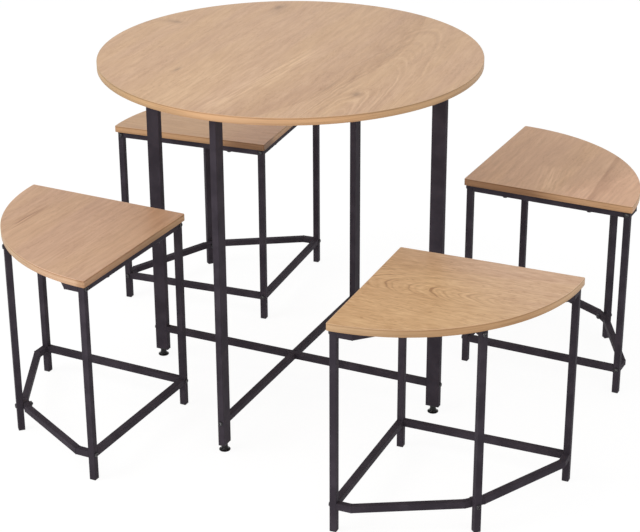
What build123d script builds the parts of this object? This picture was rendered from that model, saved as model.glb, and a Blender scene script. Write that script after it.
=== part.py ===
from build123d import *
import os
from math import cos, radians, sin, sqrt

os.makedirs("parts", exist_ok=True)

# A round dining table on four steel legs, with four quarter-round stools that slide in between the legs.
# Millimetres, Z up. The origin is on the floor, under the middle of the whole set as it stands pulled out.

# Shared stock
tube = 14.0                  # outer side of the square steel tube
wall = 1.0                   # wall of every steel tube
tube_corner = 1.2            # outer corner radius of every steel tube
board = 15.0                 # thickness of the wood boards
band = 1.0                   # thickness of the edge banding
band_chamfer = 0.5           # eased edge of the banding
overrun = 20.0               # how far a cutting shape runs past what it cuts

# Table
table_radius = 400.0
table_height = 765.0
table_place = (-60.0, -39.5)  # the table's centre in the set's frame
leg_depth = 30.0             # the leg tube's side along its brace
leg_set_back = 66.0          # from the top's edge to the centre of a leg
table_leg_lift = 16.0        # height of the legs' lower ends above the floor
brace_height = 68.5          # height of the lower cross's centre line

# Stools, in each stool's own plan: the straight edges meet at the origin and run along X and Y
seat_radius = 382.0
seat_height = 447.0
seat_corner = 3.0            # radius of the seat's upright corners
leg_inset = 4.8              # from a straight seat edge to the face of a leg
end_inset = 5.3              # from the seat's arc to the end face of a leg, along a straight edge
mid_leg_inset = 0.5          # from the seat's arc to the outer face of the middle leg
ring_height = 57.0           # height of the lower frame's centre line
short_run = 48.0             # from a straight seat edge to the first bend of both arc rails
chord_half = 20.0            # half the length of the lower arc rail's flat, which carries the middle leg

# Where each pulled-out stool stands: its corner as shares of the table's radius, and its turn as a share
stool_corner_shares = {
    "front_right": (0.789, -0.386),
    "front_left": (-0.407, -0.45),
    "back_left": (-0.492, 0.649),
    "back_right": (0.745, 0.626),
}
stool_turn_shares = {"front_right": -0.2458, "front_left": 0.495, "back_left": 0.262, "back_right": -0.0039}

# Fasteners
bolt_radius = 3.0
bolt_head_radius = 5.2
bolt_head_height = 3.2
bolt_socket = 4.0            # across flats of the hexagon socket
bolt_socket_depth = 1.9
hole_clearance = 0.3         # between a bolt or screw and the hole that it passes through
thread_clearance = 0.05      # between a thread and its nut, insert or pilot hole
insert_length = 12.0         # threaded insert in the end of a rail
nut_flats = 10.0
nut_height = 5.0
bolt_tail = 2.0              # what a bolt shows past its nut
screw_radius = 2.0
screw_head_radius = 5.5
screw_head_height = 3.0
screw_bite = 10.0            # how deep a screw goes into the board
rail_screw_shares = (0.243, 0.745)   # places of the seat screws along a straight seat edge
arc_screw_share = 0.25       # place of a seat screw along the upper arc rail, from bend to bend
cross_screw_shares = (0.3, 0.8)      # places of the top screws along an arm of the upper cross

# Plastic ends
plug_flange = 2.0            # what shows of a stool leg's plug
plug_depth = 12.0            # what sits inside the leg
insert_flange = 1.5          # what shows of the threaded plug in a table leg
insert_depth = 24.0
foot_radius = 12.0
foot_rim = 3.0               # height of the foot's rim
foot_neck_radius = 6.5
foot_neck_height = 3.0       # straight part of the neck under the leg
stud_length = 21.0
stud_clearance = 0.1         # between the stud and its threaded plug


def tube_face(width: float, height: float) -> Sketch:
    """Cross section of a hollow steel tube with rounded outer corners."""
    outer = RectangleRounded(width, height, tube_corner)
    return outer - Rectangle(width - wall - wall, height - wall - wall)


def upright(width: float, depth: float, low: float, high: float) -> Part:
    """A hollow tube along Z from one height to another, centred on the Z axis."""
    return Pos(0, 0, low) * extrude(tube_face(width, depth), amount=high - low)


def run_plane(start: tuple, end: tuple, level: float) -> Plane:
    """A plane at the start of a level run, facing along it, with its own Y upwards."""
    along = Vector(end[0] - start[0], end[1] - start[1], 0)
    across = Vector(along.Y, -along.X, 0)
    return Plane(origin=(start[0], start[1], level), x_dir=-across, z_dir=along)


def distance(start: tuple, end: tuple) -> float:
    """Length of a level run."""
    return sqrt((end[0] - start[0]) ** 2 + (end[1] - start[1]) ** 2)


def rail(start: tuple, end: tuple, level: float) -> Part:
    """A level hollow square tube between two points, cut square at both ends."""
    return run_plane(start, end, level) * extrude(tube_face(tube, tube), amount=distance(start, end))


def mitred_rail(points: list, level: float) -> list:
    """A bent rail welded up from straight tubes that meet in mitres."""
    pieces = []
    for index in range(len(points) - 1):
        start, end = points[index], points[index + 1]
        here = run_plane(start, end, level)
        length = distance(start, end)
        low = overrun if index > 0 else 0
        high = overrun if index + 2 < len(points) else 0
        piece = here * Pos(0, 0, -low) * extrude(tube_face(tube, tube), amount=low + length + high)
        if low > 0:
            before = run_plane(points[index - 1], start, level)
            piece = piece.split(Plane(here.origin, z_dir=before.z_dir + here.z_dir), keep=Keep.TOP)
        if high > 0:
            after = run_plane(end, points[index + 2], level)
            piece = piece.split(Plane(after.origin, z_dir=after.z_dir + here.z_dir), keep=Keep.BOTTOM)
        pieces.append(piece)
    return pieces


def drill(place: tuple, along: tuple, radius: float, length: float) -> Part:
    """A round cutting or filling rod that starts at a place and runs along a direction."""
    return Plane(origin=place, z_dir=along) * extrude(Circle(radius), amount=length)


def bored(solids: list, holes: list) -> list:
    """Every solid with every hole cut out of it."""
    result = []
    for solid in solids:
        near = [hole for hole in holes if solid.bounding_box().overlaps(hole.bounding_box())]
        result.append(solid - near if near else solid)
    return result


def button_bolt(place: tuple, along: tuple, length: float) -> Part:
    """A button-head bolt whose head seats at a place and whose shank runs along a direction."""
    seat = Plane(origin=place, z_dir=along)
    head = extrude(Circle(bolt_head_radius), amount=-bolt_head_height)
    top = head.faces().sort_by(Axis.Z)[0]
    head = chamfer(top.edges(), length=bolt_head_height / 3, length2=bolt_head_height / 2)
    socket_floor = Pos(0, 0, bolt_socket_depth - bolt_head_height)
    head -= socket_floor * extrude(RegularPolygon(bolt_socket / 2, 6, major_radius=False), amount=-overrun)
    return seat * (head + extrude(Circle(bolt_radius), amount=length))


def hex_nut(place: tuple, along: tuple) -> Part:
    """A hexagon nut that seats at a place, bored for its bolt."""
    face = RegularPolygon(nut_flats / 2, 6, major_radius=False) - Circle(bolt_radius + thread_clearance)
    return Plane(origin=place, z_dir=along) * extrude(face, amount=nut_height)


def rail_insert(place: tuple, along: tuple) -> Part:
    """A threaded insert inside the end of a square rail."""
    inside = tube - wall - wall
    face = Rectangle(inside, inside) - Circle(bolt_radius + thread_clearance)
    upright_x = Vector(0, 0, 1).cross(Vector(*along))
    return Plane(origin=place, x_dir=upright_x, z_dir=along) * extrude(face, amount=insert_length)


def board_screw(x: float, y: float, rail_bottom: float) -> Part:
    """A pan-head screw that goes up through a rail into the board above."""
    head = extrude(Circle(screw_head_radius), amount=-screw_head_height)
    head = chamfer(head.faces().sort_by(Axis.Z)[0].edges(), length=screw_head_height / 3)
    shank = extrude(Circle(screw_radius), amount=tube + screw_bite)
    return Pos(x, y, rail_bottom) * (head + shank)


def rail_screw_hole(x: float, y: float, rail_bottom: float) -> Part:
    """The hole through both walls of a rail for a board screw."""
    return Pos(x, y, rail_bottom - overrun / 2) * extrude(
        Circle(screw_radius + hole_clearance), amount=tube + overrun / 2)


def pilot_hole(x: float, y: float, board_bottom: float) -> Part:
    """The blind hole in the board for a screw."""
    start = Pos(x, y, board_bottom - overrun)
    return start * extrude(Circle(screw_radius + thread_clearance), amount=overrun + screw_bite)


def banded_board(outline: Sketch, inner: Sketch, bottom: float, screws: list) -> tuple:
    """A board with pilot holes, and the banding round its edge."""
    core = Pos(0, 0, bottom) * extrude(inner, amount=board)
    core -= [pilot_hole(x, y, bottom) for x, y in screws]
    skirt = Pos(0, 0, bottom) * extrude(outline, amount=board)
    level_faces = skirt.faces().filter_by(Axis.Z)
    skirt = chamfer([edge for face in level_faces for edge in face.edges()], length=band_chamfer)
    skirt -= Pos(0, 0, bottom - overrun) * extrude(inner, amount=board + overrun + overrun)
    return core, skirt


# Stool

leg_line = leg_inset + tube / 2              # centre line of the legs and rails beside a straight edge
end_line = seat_radius - end_inset - tube / 2  # centre of the legs at the ends of the arc
leg_top = seat_height - board
upper_level = leg_top - tube / 2
mid_leg_radius = seat_radius - mid_leg_inset - tube / 2
chord_radius = mid_leg_radius - tube
diagonal = (sqrt(0.5), sqrt(0.5), 0)
rail_start = leg_line + tube / 2
rail_end = end_line - tube / 2


def swap(point: tuple) -> tuple:
    """The mirror image of a plan point across the stool's diagonal."""
    return point[1], point[0]


def lower_arc_points() -> list:
    """Centre line of the lower arc rail, from the leg at the end of X to the leg at the end of Y."""
    chord_end = ((chord_radius + chord_half) * diagonal[0], (chord_radius - chord_half) * diagonal[1])
    first = [(end_line, rail_start), (end_line, short_run), chord_end]
    return first + [swap(point) for point in reversed(first)]


def upper_arc_points() -> list:
    """Centre line of the upper arc rail, which runs straight from bend to bend behind the seat's arc."""
    first = [(end_line, rail_start), (end_line, short_run)]
    return first + [swap(point) for point in reversed(first)]


def spur_points() -> list:
    """Centre line of the spur that ties the head of the middle leg to the upper arc rail."""
    root = (end_line + short_run) / 2 + tube / 2 * diagonal[0]
    tip = (mid_leg_radius - tube / 2) * diagonal[0]
    return [(root, root), (tip, tip)]


def seat_outline(inset: float) -> Sketch:
    """The quarter-round seat, drawn in by an inset all round."""
    edge = Polyline((0, seat_radius), (0, 0), (seat_radius, 0))
    arc = RadiusArc((0, seat_radius), (seat_radius, 0), seat_radius)
    face = make_face(edge.edges() + arc.edges())
    face = fillet(face.vertices(), seat_corner)
    return offset(face, amount=-inset) if inset > 0 else face


def seat_screw_places() -> list:
    """Plan places of the screws that hold the seat board."""
    straight = [(share * seat_radius, leg_line) for share in rail_screw_shares]
    start, end = upper_arc_points()[1:3]
    arc = [tuple(a + (b - a) * arc_screw_share for a, b in zip(start, end))]
    return straight + arc + [swap(point) for point in straight + arc]


def frame_levels() -> list:
    """Heights of the centre lines of the lower and the upper frame."""
    return [ring_height, upper_level]


def mid_bolt_seat(level: float) -> tuple:
    """Head face and direction of the bolt through the middle leg at one level."""
    reach = (mid_leg_radius + tube / 2) * diagonal[0]
    return (reach, reach, level), (-diagonal[0], -diagonal[1], 0)


def bolt_seats() -> list:
    """Head face and direction of each bolt that goes through a leg into the end of a rail."""
    seats = [mid_bolt_seat(upper_level)]
    for level in frame_levels():
        seats.append(((leg_inset, leg_line, level), (1, 0, 0)))
        seats.append(((end_line, leg_inset, level), (0, 1, 0)))
        seats.append(((leg_inset, end_line, level), (1, 0, 0)))
    return seats


def bolt_holes() -> list:
    """The holes that the bolts pass through."""
    holes = []
    for place, along in bolt_seats():
        start = tuple(p - a * overrun / 2 for p, a in zip(place, along))
        holes.append(drill(start, along, bolt_radius + hole_clearance, overrun / 2 + tube))
    place, along = mid_bolt_seat(ring_height)
    start = tuple(p - a * overrun / 2 for p, a in zip(place, along))
    holes.append(drill(start, along, bolt_radius + hole_clearance, overrun + tube + tube))
    return holes


def screw_holes() -> list:
    """The holes through the upper frame for the seat screws."""
    return [rail_screw_hole(x, y, leg_top - tube) for x, y in seat_screw_places()]


def stool_leg(x: float, y: float, turn: float = 0) -> Part:
    """A stool leg, from its plug to the underside of the seat."""
    return Pos(x, y, 0) * Rot(0, 0, turn) * upright(tube, tube, plug_flange, leg_top)


def leg_plug(x: float, y: float, turn: float = 0) -> Part:
    """A plastic plug in the lower end of a stool leg, which stands on the floor."""
    inside = tube - wall - wall
    flange = extrude(RectangleRounded(tube, tube, tube_corner), amount=plug_flange)
    flange = chamfer(flange.faces().sort_by(Axis.Z)[0].edges(), length=plug_flange / 4)
    core = Pos(0, 0, plug_flange) * extrude(Rectangle(inside, inside), amount=plug_depth)
    return Pos(x, y, 0) * Rot(0, 0, turn) * (flange + core)


def leg_places() -> dict:
    """Plan place and turn of each stool leg."""
    middle = mid_leg_radius * diagonal[0]
    return {
        "corner": (leg_line, leg_line, 0),
        "x_end": (end_line, leg_line, 0),
        "y_end": (leg_line, end_line, 0),
        "middle": (middle, middle, 45),
    }


def side_frame() -> list:
    """The welded frame under one straight edge: the corner leg, the leg at its other end and two rails."""
    places = leg_places()
    legs = [stool_leg(*places["corner"]), stool_leg(*places["y_end"])]
    rails = [rail((leg_line, rail_start), (leg_line, rail_end), level) for level in frame_levels()]
    return bored(legs + rails, bolt_holes() + screw_holes())


def end_frame() -> list:
    """The welded frame under the other straight edge: one leg and two rails, bolted to the corner leg."""
    leg = [stool_leg(*leg_places()["x_end"])]
    rails = [rail((rail_start, leg_line), (rail_end, leg_line), level) for level in frame_levels()]
    return bored(leg + rails, bolt_holes() + screw_holes())


def upper_arc_rail() -> list:
    """The bent rail under the seat, with the spur that carries the head of the middle leg."""
    pieces = mitred_rail(upper_arc_points(), upper_level) + [rail(*spur_points(), upper_level)]
    return bored(pieces, screw_holes())


def lower_arc_rail() -> list:
    """The bent rail near the floor, which follows the seat's arc."""
    return bored(mitred_rail(lower_arc_points(), ring_height), bolt_holes())


def middle_leg() -> list:
    """The leg in the middle of the arc, turned by 45 degrees and bolted to the spur and the lower rail."""
    return bored([stool_leg(*leg_places()["middle"])], bolt_holes())


def frame_bolts() -> list:
    """All bolts of one stool frame."""
    bolts = [button_bolt(place, along, tube + insert_length) for place, along in bolt_seats()]
    return bolts + [button_bolt(*mid_bolt_seat(ring_height), tube + tube + nut_height + bolt_tail)]


def frame_nuts() -> list:
    """The threaded inserts in the rails' ends, and the nut behind the lower arc rail."""
    nuts = []
    for place, along in bolt_seats():
        nuts.append(rail_insert(tuple(p + a * tube for p, a in zip(place, along)), along))
    place, along = mid_bolt_seat(ring_height)
    nuts.append(hex_nut(tuple(p + a * (tube + tube) for p, a in zip(place, along)), along))
    return nuts


def stool_nodes() -> dict:
    """Every piece of one stool, in the stool's own plan."""
    screws = seat_screw_places()
    core, skirt = banded_board(seat_outline(0), seat_outline(band), leg_top, screws)
    return {
        "seat_board": [core],
        "seat_edge_band": [skirt],
        "side_frame": side_frame(),
        "end_frame": end_frame(),
        "upper_arc_rail": upper_arc_rail(),
        "lower_arc_rail": lower_arc_rail(),
        "middle_leg": middle_leg(),
        "leg_plugs": [leg_plug(*place) for place in leg_places().values()],
        "frame_bolts": frame_bolts(),
        "frame_nuts": frame_nuts(),
        "seat_screws": [board_screw(x, y, leg_top - tube) for x, y in screws],
    }


# Table

table_leg_top = table_height - board
cross_level = table_leg_top - tube / 2
leg_circle = table_radius - leg_set_back
leg_inner = leg_circle - leg_depth / 2
leg_outer = leg_circle + leg_depth / 2
arm_turns = {"left": 180, "front": -90, "right": 0, "back": 90}


def arm(turn: float) -> Rotation:
    """Turns a piece that is drawn along +X to one of the table's four arms."""
    return Rot(0, 0, turn)


def cross_screw_places() -> list:
    """Distances from the centre of the screws along one arm of the upper cross."""
    return [share * leg_inner for share in cross_screw_shares]


def table_leg() -> Part:
    """One table leg on +X, bored for the two cross bolts."""
    leg = Pos(leg_circle, 0, 0) * upright(leg_depth, tube, table_leg_lift + insert_flange, table_leg_top)
    holes = []
    for level in (brace_height, cross_level):
        start = (leg_outer + overrun / 2, 0, level)
        holes.append(drill(start, (-1, 0, 0), bolt_radius + hole_clearance, overrun / 2 + leg_depth))
    return leg - holes


def cross(level: float, screw_steps: list) -> list:
    """A level cross of one long tube and two half tubes welded to its sides."""
    long_tube = [rail((-leg_inner, 0), (leg_inner, 0), level)]
    halves = [rail((0, sign * tube / 2), (0, sign * leg_inner), level) for sign in (-1, 1)]
    holes = [
        arm(turn) * rail_screw_hole(step, 0, level - tube / 2)
        for turn in arm_turns.values() for step in screw_steps
    ]
    return bored(long_tube + halves, holes)


def cross_bolts() -> list:
    """The bolts through the table legs into the ends of both crosses."""
    reach = leg_depth + insert_length
    return [
        arm(turn) * button_bolt((leg_outer, 0, level), (-1, 0, 0), reach)
        for turn in arm_turns.values() for level in (brace_height, cross_level)
    ]


def cross_nuts() -> list:
    """The threaded inserts in the ends of both crosses."""
    return [
        arm(turn) * rail_insert((leg_inner, 0, level), (-1, 0, 0))
        for turn in arm_turns.values() for level in (brace_height, cross_level)
    ]


def threaded_plug() -> Part:
    """The plug in the lower end of a table leg, bored for the stud of a levelling foot."""
    flange = extrude(RectangleRounded(leg_depth, tube, tube_corner), amount=insert_flange)
    core = Rectangle(leg_depth - wall - wall, tube - wall - wall)
    body = flange + Pos(0, 0, insert_flange) * extrude(core, amount=insert_depth)
    body -= extrude(Circle(bolt_radius + stud_clearance), amount=insert_flange + insert_depth)
    return Pos(leg_circle, 0, table_leg_lift) * body


def levelling_foot() -> Part:
    """A moulded foot: a round pad, a neck that flares down to it, and a threaded stud."""
    flare_top = table_leg_lift - foot_neck_height
    profile = Polyline(
        (0, table_leg_lift), (foot_neck_radius, table_leg_lift), (foot_neck_radius, flare_top))
    flare_end = (foot_radius - foot_rim / 2, foot_rim)
    flare = TangentArc((foot_neck_radius, flare_top), flare_end, tangent=(0, -1))
    rim = Polyline(
        flare_end, (foot_radius, foot_rim * 2 / 3),
        (foot_radius, foot_rim / 3), (foot_radius - foot_rim / 3, 0), (0, 0), (0, table_leg_lift))
    half = Plane.XZ * make_face(profile.edges() + flare.edges() + rim.edges())
    pad = revolve(half, Axis.Z)
    stud = Pos(0, 0, table_leg_lift) * extrude(Circle(bolt_radius), amount=stud_length)
    return Pos(leg_circle, 0, 0) * (pad + stud)


def table_nodes() -> dict:
    """Every piece of the table, centred on the Z axis."""
    steps = cross_screw_places()
    spots = []
    for turn in arm_turns.values():
        spots += [(step * cos(radians(turn)), step * sin(radians(turn))) for step in steps]
    core, skirt = banded_board(Circle(table_radius), Circle(table_radius - band), table_leg_top, spots)
    nodes = {
        "tabletop": [core],
        "tabletop_edge_band": [skirt],
        "table_upper_cross": cross(cross_level, steps),
        "table_lower_cross": cross(brace_height, []),
        "table_cross_bolts": cross_bolts(),
        "table_cross_nuts": cross_nuts(),
        "table_leg_plugs": [arm(turn) * threaded_plug() for turn in arm_turns.values()],
        "tabletop_screws": [board_screw(x, y, table_leg_top - tube) for x, y in spots],
    }
    for side, turn in arm_turns.items():
        nodes["table_leg_" + side] = [arm(turn) * table_leg()]
        nodes["levelling_foot_" + side] = [arm(turn) * levelling_foot()]
    return nodes


def place_stool(name: str) -> Location:
    """Where a stool stands in the set."""
    share_x, share_y = stool_corner_shares[name]
    x = table_place[0] + share_x * table_radius
    y = table_place[1] + share_y * table_radius
    return Pos(x, y, 0) * Rot(0, 0, stool_turn_shares[name] * 360)


def write_node(name: str, pieces: list, place: Location) -> None:
    """Writes one node as a group of its solids."""
    solids = [solid for piece in pieces for solid in (place * piece).solids()]
    export_step(Compound(children=solids), "parts/" + name + ".step")


for node, pieces in table_nodes().items():
    write_node(node, pieces, Pos(table_place[0], table_place[1], 0))

stool = stool_nodes()
for stool_name in stool_corner_shares:
    for node, pieces in stool.items():
        write_node(stool_name + "_" + node, pieces, place_stool(stool_name))
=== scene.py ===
"""Dresses a round dining table and its four quarter-round stools, and sets them in a plain pale studio.

The table top and the seats are boards in a light oak decor with banded edges. The frames are square
steel tube in black powder coat, welded and bolted, on plastic plugs and on four levelling feet.
All sizes are in metres.
"""

import logging
import math
from dataclasses import dataclass, field
from enum import Enum
from typing import Any, Callable, Sequence

import bpy
from mathutils import Matrix, Vector


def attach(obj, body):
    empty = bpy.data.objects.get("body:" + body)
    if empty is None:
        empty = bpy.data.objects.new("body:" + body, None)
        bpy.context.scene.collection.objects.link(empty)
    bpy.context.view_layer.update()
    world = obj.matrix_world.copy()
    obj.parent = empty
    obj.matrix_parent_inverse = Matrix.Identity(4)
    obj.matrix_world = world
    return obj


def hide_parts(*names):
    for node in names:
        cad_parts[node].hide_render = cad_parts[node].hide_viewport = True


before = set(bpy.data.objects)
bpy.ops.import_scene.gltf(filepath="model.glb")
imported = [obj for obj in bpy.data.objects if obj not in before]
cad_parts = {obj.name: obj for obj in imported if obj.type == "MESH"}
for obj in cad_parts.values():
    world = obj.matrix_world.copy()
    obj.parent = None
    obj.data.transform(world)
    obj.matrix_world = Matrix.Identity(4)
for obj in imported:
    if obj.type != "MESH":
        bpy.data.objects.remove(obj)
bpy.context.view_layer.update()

log = logging.getLogger("dining_set")

Point = tuple[float, float, float]
Colour = tuple[float, float, float]


class Slot(Enum):
    """The record's material slots whose finish all sub-assemblies share."""

    BLACK_STEEL = "black_steel"
    BLACK_BOLT = "black_bolt"
    ZINC_STEEL = "zinc_steel"
    BLACK_PLASTIC = "black_plastic"
    FOOT_PLASTIC = "foot_plastic"


# Shader helpers

# The colour sockets of a Mix node, which share their names with its other sockets
MIX_FIRST, MIX_SECOND, MIX_RESULT = 6, 7, 2
LACQUER_IOR = 1.45
WHITE = (1.0, 1.0, 1.0, 1.0)


class Wire:
    """A value in a shader, which takes part in Python sums."""

    def __init__(self, bench: "Bench", socket: bpy.types.NodeSocket) -> None:
        """Keeps the socket and the bench that its nodes go on."""
        self.bench = bench
        self.socket = socket

    def math(self, operation: str, first: Any, second: Any = None) -> "Wire":
        """Adds one Math node.

        Args:
            operation: the Math node's operation.
            first: its first value, a wire or a number.
            second: its second value, where it has one.

        Returns:
            The node's result.
        """
        inputs = {0: first} if second is None else {0: first, 1: second}
        return self.bench.add("ShaderNodeMath", {"operation": operation}, inputs)

    def __add__(self, other: Any) -> "Wire":
        """This value plus another."""
        return self.math("ADD", self, other)

    def __sub__(self, other: Any) -> "Wire":
        """This value less another."""
        return self.math("SUBTRACT", self, other)

    def __rsub__(self, other: Any) -> "Wire":
        """Another value less this one."""
        return self.math("SUBTRACT", other, self)

    def __mul__(self, other: Any) -> "Wire":
        """This value times another."""
        return self.math("MULTIPLY", self, other)

    def __truediv__(self, other: Any) -> "Wire":
        """This value over another."""
        return self.math("DIVIDE", self, other)

    def __pow__(self, other: Any) -> "Wire":
        """This value to a power; a square also takes a value below zero."""
        return self.math("MULTIPLY", self, self) if other == 2.0 else self.math("POWER", self, other)

    def sine(self) -> "Wire":
        """The sine of this value."""
        return self.math("SINE", self)

    def root(self) -> "Wire":
        """The square root of this value."""
        return self.math("SQRT", self)

    def size(self) -> "Wire":
        """This value without its sign."""
        return self.math("ABSOLUTE", self)

    def between(self, low: float, high: float) -> "Wire":
        """A soft step of this value.

        Args:
            low: where the step starts.
            high: where it ends; a lower one than the start turns it round.

        Returns:
            A value from 0 to 1.
        """
        return self.bench.add(
            "ShaderNodeMapRange",
            {"interpolation_type": "SMOOTHSTEP"},
            {"Value": self, "From Min": low, "From Max": high, "To Min": 0.0, "To Max": 1.0},
        )


class Bench:
    """Lays out the nodes of one material or world."""

    def __init__(self, name: str, world: bool = False) -> None:
        """Starts an empty shader.

        Args:
            name: the name of the material or world.
            world: whether it is the world's shader.
        """
        self.owner = (bpy.data.worlds if world else bpy.data.materials).new(name)
        self.owner.use_nodes = True
        self.tree = self.owner.node_tree
        self.tree.nodes.clear()

    def add(
        self,
        kind: str,
        settings: dict[str, Any] | None = None,
        inputs: dict[Any, Any] | None = None,
        out: Any = 0,
    ) -> Wire | None:
        """Adds one node.

        Args:
            kind: the node's type.
            settings: the node's own settings, which are set first.
            inputs: values or wires for the node's sockets, by name or number.
            out: the output that is wanted, by name or number.

        Returns:
            The wire at that output, or nothing for a node that ends the shader.
        """
        node = self.tree.nodes.new(kind)
        for key, value in (settings or {}).items():
            setattr(node, key, value)
        for key, value in (inputs or {}).items():
            if isinstance(value, Wire):
                self.tree.links.new(value.socket, node.inputs[key])
            else:
                node.inputs[key].default_value = value
        return Wire(self, node.outputs[out]) if len(node.outputs) else None

    def object_point(self, place: Point = (0.0, 0.0, 0.0), turn: float = 0.0) -> Wire:
        """Coordinates on the object, moved and turned about Z.

        Args:
            place: the point that becomes the origin.
            turn: where the new X axis points, in degrees from X.

        Returns:
            The coordinates.
        """
        raw = self.add("ShaderNodeTexCoord", out="Object")
        return self.add(
            "ShaderNodeMapping",
            {"vector_type": "TEXTURE"},
            {"Vector": raw, "Location": place, "Rotation": (0.0, 0.0, math.radians(turn))},
        )

    def parts(self, point: Wire) -> tuple[Wire, Wire, Wire]:
        """The three numbers of a point."""
        first = self.add("ShaderNodeSeparateXYZ", inputs={0: point})
        return tuple(Wire(self, output) for output in first.socket.node.outputs)

    def point(self, x: Any, y: Any, z: Any = 0.0) -> Wire:
        """A point from three numbers."""
        return self.add("ShaderNodeCombineXYZ", inputs={"X": x, "Y": y, "Z": z})

    def noise(self, point: Wire, scale: float = 1.0, detail: float = 2.0, roughness: float = 0.5) -> Wire:
        """Soft noise.

        Args:
            point: where it is read.
            scale: how many features there are in a metre.
            detail: how many finer layers it has.
            roughness: how strong the finer layers are.

        Returns:
            A value about 0.5.
        """
        inputs = {"Vector": point, "Scale": scale, "Detail": detail, "Roughness": roughness}
        return self.add("ShaderNodeTexNoise", {"noise_dimensions": "3D"}, inputs, "Fac")

    def blend(self, share: Any, first: Any, second: Any) -> Wire:
        """One colour going over into another.

        Args:
            share: how much of the second there is.
            first: a colour or its wire.
            second: a colour or its wire.

        Returns:
            The mixed colour.
        """
        pair = [(*colour, 1.0) if isinstance(colour, tuple) else colour for colour in (first, second)]
        inputs = {"Factor": share, MIX_FIRST: pair[0], MIX_SECOND: pair[1]}
        return self.add("ShaderNodeMix", {"data_type": "RGBA"}, inputs, MIX_RESULT)

    def scaled(self, colour: Wire, factor: Wire) -> Wire:
        """A colour made lighter or darker by a factor."""
        return self.add("ShaderNodeVectorMath", {"operation": "SCALE"}, {0: colour, "Scale": factor})

    def tinted(self, colour: Wire, light: Wire, depths: tuple[float, float, float]) -> Wire:
        """A colour made lighter or darker, and warmer where it is darker.

        Args:
            colour: the colour.
            light: the factor.
            depths: how strongly red, green and blue follow it.

        Returns:
            The changed colour.
        """
        return self.times(colour, self.point(*(light ** depth for depth in depths)))

    def times(self, colour: Wire, factor: Wire) -> Wire:
        """A colour times another, channel by channel."""
        return self.add("ShaderNodeVectorMath", {"operation": "MULTIPLY"}, {0: colour, 1: factor})

    def bump(self, height: Wire, depth: float, strength: float = 1.0) -> Wire:
        """A relief for a surface.

        Args:
            height: the height, from 0 to 1.
            depth: how deep the relief is at full height.
            strength: how much of it is used.

        Returns:
            The normal.
        """
        return self.add("ShaderNodeBump", inputs={"Height": height, "Distance": depth, "Strength": strength})

    def surface(self, inputs: dict[str, Any]) -> bpy.types.Material:
        """Ends the material with the usual surface shader.

        Args:
            inputs: values or wires for the shader's sockets.

        Returns:
            The finished material.
        """
        shader = self.add("ShaderNodeBsdfPrincipled", inputs=inputs)
        self.add("ShaderNodeOutputMaterial", inputs={"Surface": shader})
        return self.owner


# Finishes


@dataclass(frozen=True)
class Layer:
    """One layer of noise in the decor: its features in a metre along and across the grain, and its seed."""

    along: float
    across: float
    seed: float
    detail: float = 1.0
    roughness: float = 0.5

    def read(self, bench: Bench, along: Wire, across: Wire, shift: float = 0.0) -> Wire:
        """The layer's value at a point of the board.

        Args:
            bench: the bench of the decor.
            along: the place along the grain.
            across: the place across it.
            shift: what is added to the seed.

        Returns:
            A value about 0.5.
        """
        point = bench.point(along * self.along, across * self.across, self.seed + shift)
        return bench.noise(point, detail=self.detail, roughness=self.roughness)


DRIFT = Layer(2.2, 6.0, 0.0)
SWAY = Layer(14.0, 32.0, 2.0, detail=2.0)
JITTER = Layer(60.0, 130.0, 4.0)
FADE = Layer(5.0, 16.0, 3.0)
BROAD = Layer(1.6, 12.0, 7.0, detail=3.0)
MOTTLE = Layer(13.0, 62.0, 8.0, detail=3.0, roughness=0.62)
STREAK = Layer(3.0, 42.0, 9.0, detail=3.0, roughness=0.55)
FIBRE = Layer(34.0, 1100.0, 11.0, detail=2.0, roughness=0.6)
PORES = Layer(70.0, 1500.0, 13.0)
FLECKS = Layer(75.0, 300.0, 17.0)
PATCH = Layer(7.0, 18.0, 19.0)
FLASH_STREAKS = Layer(7.0, 170.0, 23.0)


@dataclass(frozen=True)
class Knot:
    """A small brown knot in the oak decor, at its place on the board and with its reach each way."""

    along: float
    across: float
    length: float
    width: float
    depth: float

    def spot(self, along: Wire, across: Wire, sway: Wire) -> Wire:
        """How much of the knot there is at a point.

        Args:
            along: the point's place along the grain.
            across: its place across it.
            sway: noise that makes the knot uneven.

        Returns:
            A share from 0 to 1, with a dark core.
        """
        off = across - self.across + (sway - 0.5) * self.width
        reach = (((along - self.along) / self.length) ** 2.0 + (off / self.width) ** 2.0).root()
        return reach.between(1.25, 0.0) * 0.5 + reach.between(0.6, 0.1) * 0.5

    def pull(self, along: Wire, across: Wire, bulge: float = 0.008) -> Wire:
        """How far the grain is pushed aside by the knot.

        Args:
            along: the place along the grain.
            across: the place across it.
            bulge: how far it is pushed at the knot's middle.

        Returns:
            The distance across the grain.
        """
        reach = ((along - self.along) / (self.length * 2.2)) ** 2.0
        reach = (reach + ((across - self.across) / (self.width * 3.0)) ** 2.0).root()
        return reach.between(1.0, 0.0) * bulge


@dataclass(frozen=True)
class Zone:
    """A lighter or darker zone of the decor, which starts sharply at a line and fades away from it."""

    across: float
    change: float
    reach: float
    slope: float = 0.0
    bow: float = 0.0
    bow_at: float = 0.0
    side: float = 1.0

    def lift(self, along: Wire, across: Wire, drift: Wire) -> Wire:
        """How much the zone lightens the decor at a point.

        Args:
            along: the point's place along the grain.
            across: its place across it.
            drift: noise that makes the line uneven.

        Returns:
            The change of the decor's lightness.
        """
        line = along * self.slope + self.across + (drift - 0.5) * 0.02
        if self.bow:
            line = line + ((along - self.bow_at) ** 2.0) * self.bow
        offset = (across - line) * self.side
        return offset.between(0.0, 0.003) * offset.between(self.reach, 0.0) * self.change


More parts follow.
